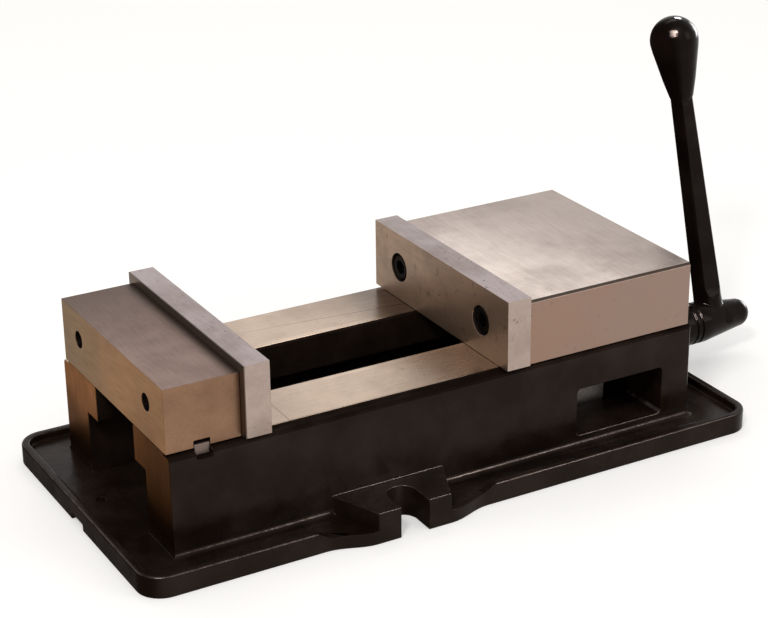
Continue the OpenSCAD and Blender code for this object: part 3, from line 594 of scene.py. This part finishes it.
def lathe(name, rings, axis_z):
    """A closed mesh round an X axis; a ring is (x, function from angle to radius)."""
    bm = bmesh.new()
    rows = []
    for x, radius in rings:
        row = []
        for i in range(ROUND_STEPS):
            angle = math.tau * i / ROUND_STEPS
            r = radius(angle)
            row.append(bm.verts.new((x, r * math.cos(angle), axis_z + r * math.sin(angle))))
        rows.append(row)
    for a, b in zip(rows, rows[1:]):
        for i in range(ROUND_STEPS):
            j = (i + 1) % ROUND_STEPS
            bm.faces.new((a[i], b[i], b[j], a[j]))
    bm.faces.new(rows[0])
    bm.faces.new(rows[-1][::-1])
    bmesh.ops.recalc_face_normals(bm, faces=bm.faces)
    mesh = bpy.data.meshes.new(name)
    bm.to_mesh(mesh)
    bm.free()
    piece = bpy.data.objects.new(name, mesh)
    bpy.context.scene.collection.objects.link(piece)
    return piece


def threaded_screw():
    """The screw as the CAD has it, with a thread along its working length."""
    low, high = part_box("lead_screw")
    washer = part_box("thrust_washer_inner")
    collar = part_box("lock_collar")
    axis_z = (washer[0].z + washer[1].z) / 2
    shoulder_x, hexagon_x = washer[0].x - SHOULDER_LENGTH, collar[1].x
    hexagon_end = high.x - NOSE_LENGTH
    crest, shoulder, journal, nose, flat = 12.7 * MM, 17.5 * MM, 10 * MM, 5.5 * MM, 9.5 * MM
    chamfer, nose_chamfer = 1.6 * MM, 0.5 * MM

    def plain(radius):
        return lambda angle: radius

    def hexagon(angle):
        return flat / math.cos((angle % (math.pi / 3)) - math.pi / 6)

    def thread(x):
        fade = min(1.0, max(0.0, (shoulder_x - THREAD_START - x) / THREAD_PITCH))
        return lambda angle: crest - (crest - thread_radius(x, angle, crest)) * fade

    rings = [(low.x, plain(crest - THREAD_DEPTH))]
    count = int((shoulder_x - low.x) / THREAD_PITCH * RINGS_PER_PITCH)
    for i in range(1, count):
        x = low.x + i * THREAD_PITCH / RINGS_PER_PITCH
        rings.append((x, thread(x)))
    rings += [
        (shoulder_x, plain(crest)), (shoulder_x, plain(shoulder)), (washer[0].x, plain(shoulder)),
        (washer[0].x, plain(journal)), (hexagon_x, plain(journal)), (hexagon_x, hexagon),
        (hexagon_end - chamfer, hexagon),
        (hexagon_end, lambda angle: min(hexagon(angle), flat - chamfer / 4)),
        (hexagon_end, plain(nose)), (high.x - nose_chamfer, plain(nose)),
        (high.x, plain(nose - nose_chamfer)),
    ]
    piece = lathe("threaded_screw", rings, axis_z)
    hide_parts("lead_screw")
    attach(piece, "screw")
    smooth = piece.modifiers.new("smooth", "NODES")
    smooth.node_group = SMOOTH
    return piece


# Light, floor and backdrop

FLOOR = (0.80, 0.79, 0.78)
SKY = (1.0, 0.985, 0.965)
SKY_LIGHT = 0.62
SKY_TOP = (0.50, 0.49, 0.48)
FLOOR_GLOW = 0.34
FLOOR_HALF = 6.0
FLOOR_BELOW = 0.05 * MM
LAMPS_AIM_AT = Vector((0.03, 0, 0.06))

# Name, place and size in metres, watts and colour of each lamp
SOFT_LAMPS = (
    ("key", (-0.9, -0.95, 1.5), (0.3, 0.3), 11, (1, 0.98, 0.95)),
    ("fill", (1.2, -1.3, 0.9), (0.8, 0.8), 4, (1, 0.98, 0.96)),
    ("back", (0.5, 1.1, 1.9), (1.2, 0.5), 5, (1, 0.985, 0.97)),
)
CASTING_GLINTS = (
    ("left_glint", (-0.85, -1.0, 1.7), (0.5, 0.5), 32, (1, 0.98, 0.96)),
    ("right_glint", (0.98, -1.55, 1.15), (0.4, 0.4), 34, (1, 0.98, 0.96)),
)
HANDLE_GLINTS = (
    ("knob_glint", (-0.85, -1.0, 1.7), (1.2, 1.1), 1500, (1, 0.98, 0.96)),
    ("rim_glint", (2.17, 0.67, 0.33), (0.8, 0.8), 30, (0.95, 0.96, 1)),
    ("hub_glint", (1.38, 1.2, 1.3), (0.4, 0.3), 35, (0.97, 0.98, 1)),
)


def add_world():
    """Pale studio: white for the eye and for mirrors, dimmer for what it lights."""
    s = Shader("studio", world=True)
    upward = s.split(s.direction)[2]
    shell = s.mix(s.ramp(upward, 0.45, 0.9), WHITE, SKY_TOP)
    light = s.glow(SKY, SKY_LIGHT, "ShaderNodeBackground")
    white = s.glow(shell, 1.0, "ShaderNodeBackground")
    bpy.context.scene.world = s.finish(s.join(s.seen(), light, white))


def add_floor():
    """Plain pale floor, lifted to white for the eye, so that only the shadow shows."""
    mesh = bpy.data.meshes.new("floor")
    h = FLOOR_HALF
    mesh.from_pydata([(-h, -h, 0), (h, -h, 0), (h, h, 0), (-h, h, 0)], [], [(0, 1, 2, 3)])
    floor = bpy.data.objects.new("floor", mesh)
    bpy.context.scene.collection.objects.link(floor)
    floor.location.z = -FLOOR_BELOW
    s = Shader("floor")
    plain = s.node("ShaderNodeBsdfDiffuse")
    s.put(plain.inputs["Color"], FLOOR)
    lifted = s.node("ShaderNodeAddShader")
    s.put(lifted.inputs[0], plain.outputs[0])
    s.put(lifted.inputs[1], s.glow(WHITE, FLOOR_GLOW))
    mesh.materials.append(s.finish(s.join(s.seen(), plain.outputs[0], lifted.outputs[0])))


def add_lamp(name, at, size, power, colour, glints=None):
    """An area lamp aimed at the vise; with glints it shows only in what that collection mirrors."""
    data = bpy.data.lights.new(name, "AREA")
    data.shape = "RECTANGLE"
    data.size, data.size_y = size
    data.energy = power
    data.color = colour
    lamp = bpy.data.objects.new(name, data)
    at = Vector(at)
    aim = (LAMPS_AIM_AT - at).to_track_quat("-Z", "Y").to_matrix().to_4x4()
    lamp.matrix_world = Matrix.Translation(at) @ aim
    bpy.context.scene.collection.objects.link(lamp)
    if glints:
        lamp.visible_diffuse = lamp.visible_camera = False
        lamp.light_linking.receiver_collection = glints


def add_lights():
    """Soft lamps light the vise; the others give only glints, on the casting or on the crank."""
    for lamp in SOFT_LAMPS:
        add_lamp(*lamp)
    for lamp in CASTING_GLINTS:
        add_lamp(*lamp, CASTING_ONLY)
    for lamp in HANDLE_GLINTS:
        add_lamp(*lamp, HANDLE_ONLY)


SMOOTH = smooth_group()
CASTING_ONLY = bpy.data.collections.new("lit_casting")
HANDLE_ONLY = bpy.data.collections.new("lit_handle")
add_camera()
add_world()
add_floor()
add_lights()

block_grey = ground_material("moving_block", BLOCK_TONES, rough=0.3, speck=0.35, offset=0.0,
                             shade=block_shade)
fixed_grey = ground_material("fixed_block", FIXED_TONES, rough=0.36, speck=0.3, offset=30.0,
                             shade=fixed_shade, film=FIXED_REFLECTION_TINT)
plate_grey = ground_material("jaw_plates", PLATE_TONES, rough=0.36, speck=0.9, offset=20.0,
                             shade=plate_marks_and_shade, metal=0.8, film=PLATES_REFLECTION_TINT)
bright = turned_material("turned_steel", (0.50, 0.46, 0.43), (0.28, 0.24, 0.21), 0.24)
key_grey = turned_material("key_steel", (0.20, 0.15, 0.13), (0.10, 0.075, 0.06), 0.4)
bronze = turned_material("bronze", (0.62, 0.42, 0.20), (0.34, 0.22, 0.10), 0.3)
bearing = turned_material("bearing_steel", (0.72, 0.71, 0.70), (0.5, 0.48, 0.46), 0.14)
enamel = handle_material()
oxide = oxide_material()
cast = cast_material()
casting = body_material()

# Material of each node, and by how many millimetres its edges are broken
FINISH = {
    "fixed_jaw": (fixed_grey, 0.4), "moving_jaw": (block_grey, 0.4),
    "fixed_jaw_plate": (plate_grey, 0.3), "moving_jaw_plate": (plate_grey, 0.3),
    "fixed_jaw_key": (key_grey, 0.8), "fixed_jaw_bolts": (oxide, 0.25),
    "fixed_jaw_plate_screws": (oxide, 0.25), "moving_jaw_plate_screws": (oxide, 0.25),
    "half_ball": (bright, 0.2), "jaw_nut": (cast, 0.5), "jaw_adjust_screw": (oxide, 0.2),
    "screw_bush": (bronze, 0.2), "thrust_washer_outer": (bearing, 0.15),
    "thrust_washer_inner": (bearing, 0.15), "thrust_bearing": (bronze, 0),
    "retaining_plate": (enamel, 0.5), "retaining_plate_screws": (oxide, 0.2),
    "lock_collar": (bright, 0.3), "collar_set_screw": (oxide, 0.15), "crank_handle": (enamel, 0.3),
    "hub_plunger": (enamel, 0.25),
}

for node_name, (finish, radius) in FINISH.items():
    dress(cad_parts[node_name], finish)
    round_edges(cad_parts[node_name], radius * MM)

body = join_casting()
dress(body, casting)
CASTING_ONLY.objects.link(body)
CASTING_ONLY.objects.link(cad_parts["retaining_plate"])
HANDLE_ONLY.objects.link(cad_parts["crank_handle"])
round_edges(body, CASTING_BEVEL, CASTING_BEVEL_ABOVE)
settle_spikes(body)
dress(threaded_screw(), bright)

bpy.context.scene.view_settings.view_transform = "Standard"
